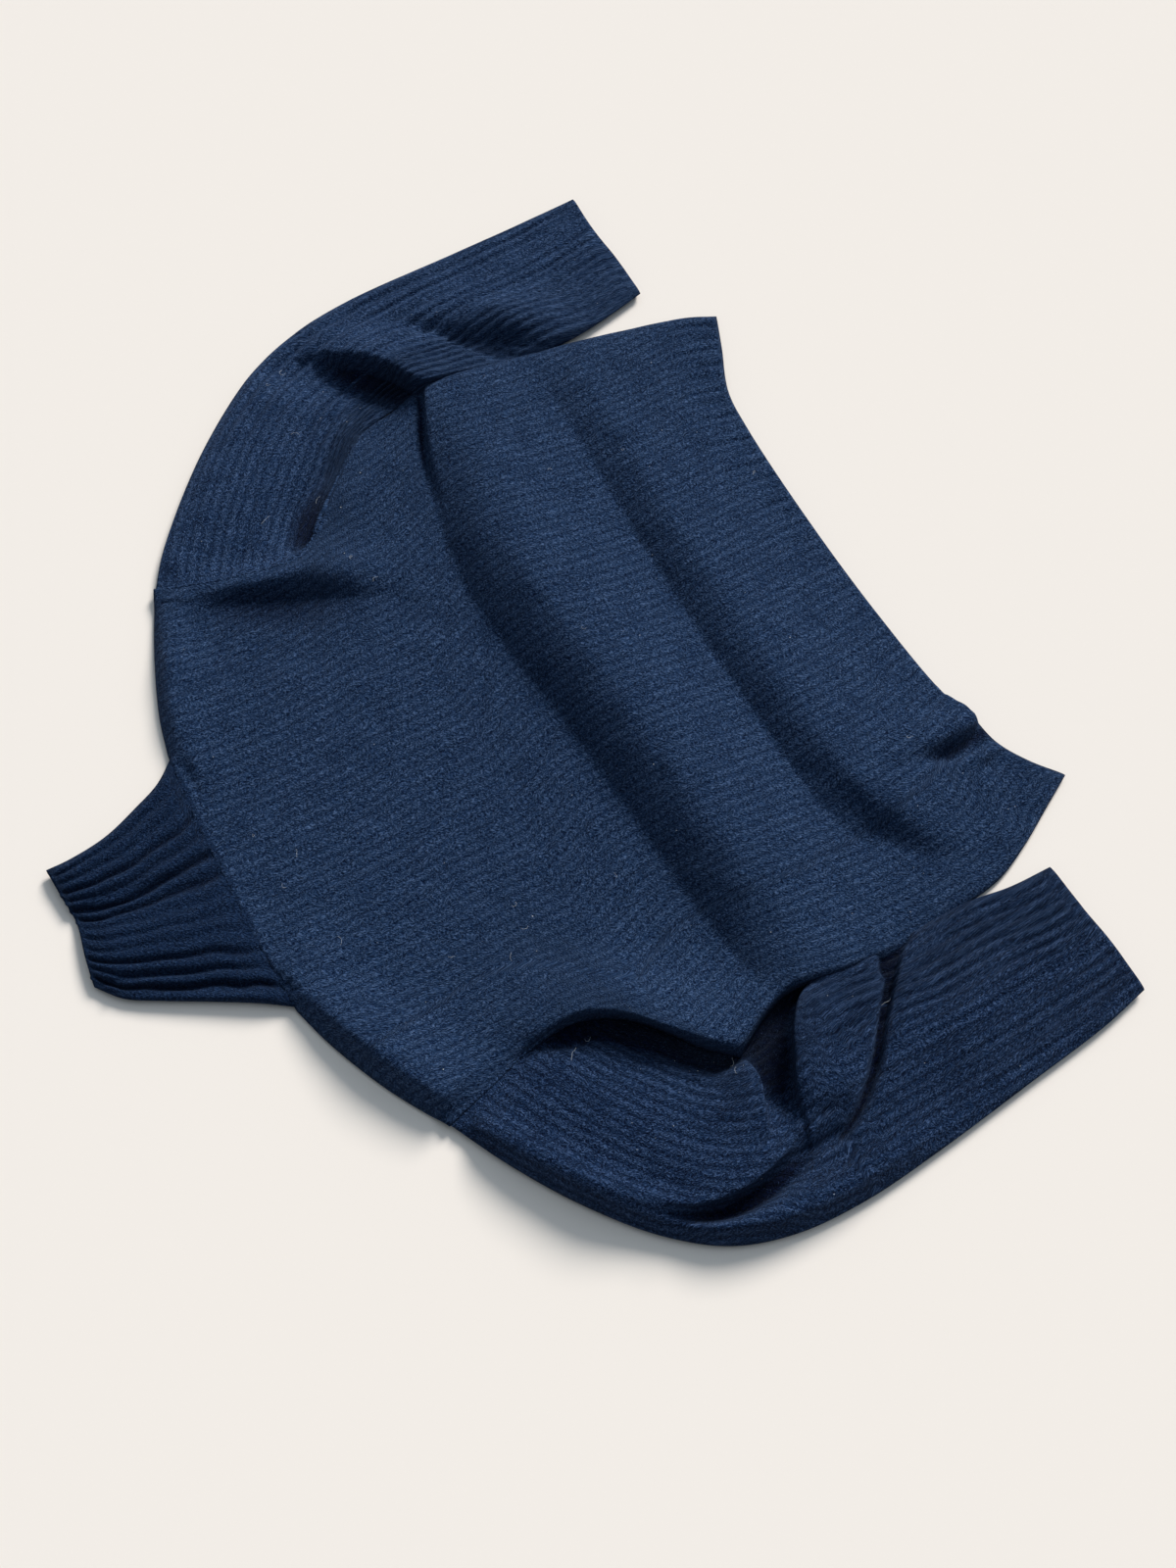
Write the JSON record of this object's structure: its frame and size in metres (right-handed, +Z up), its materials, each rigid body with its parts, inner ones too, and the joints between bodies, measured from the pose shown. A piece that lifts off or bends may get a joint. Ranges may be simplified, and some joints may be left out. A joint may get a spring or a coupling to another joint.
{
  "type": "turtleneck sweater",
  "caption": "Boxy brushed-wool turtleneck sweater laid flat face up, sleeves folded down beside the body, ribbed collar, hem and cuffs.",
  "frame": {"origin": "middle of the footprint, on the surface that the sweater lies on", "axes": "+Z up from the surface, +Y from the hem towards the collar, +X towards the wearer's left sleeve"},
  "size_m": [0.869, 0.726, 0.0384],
  "materials": {
    "brushed_knit": "brushed navy wool, matt and fuzzy",
    "rib_knit": "ribbed navy wool, matt and slightly fuzzy"
  },
  "bodies": {
    "root": {"front": "brushed_knit", "back": "brushed_knit", "sleeve_right": "brushed_knit", "sleeve_left": "brushed_knit", "collar": "rib_knit"}
  },
  "joints": []
}
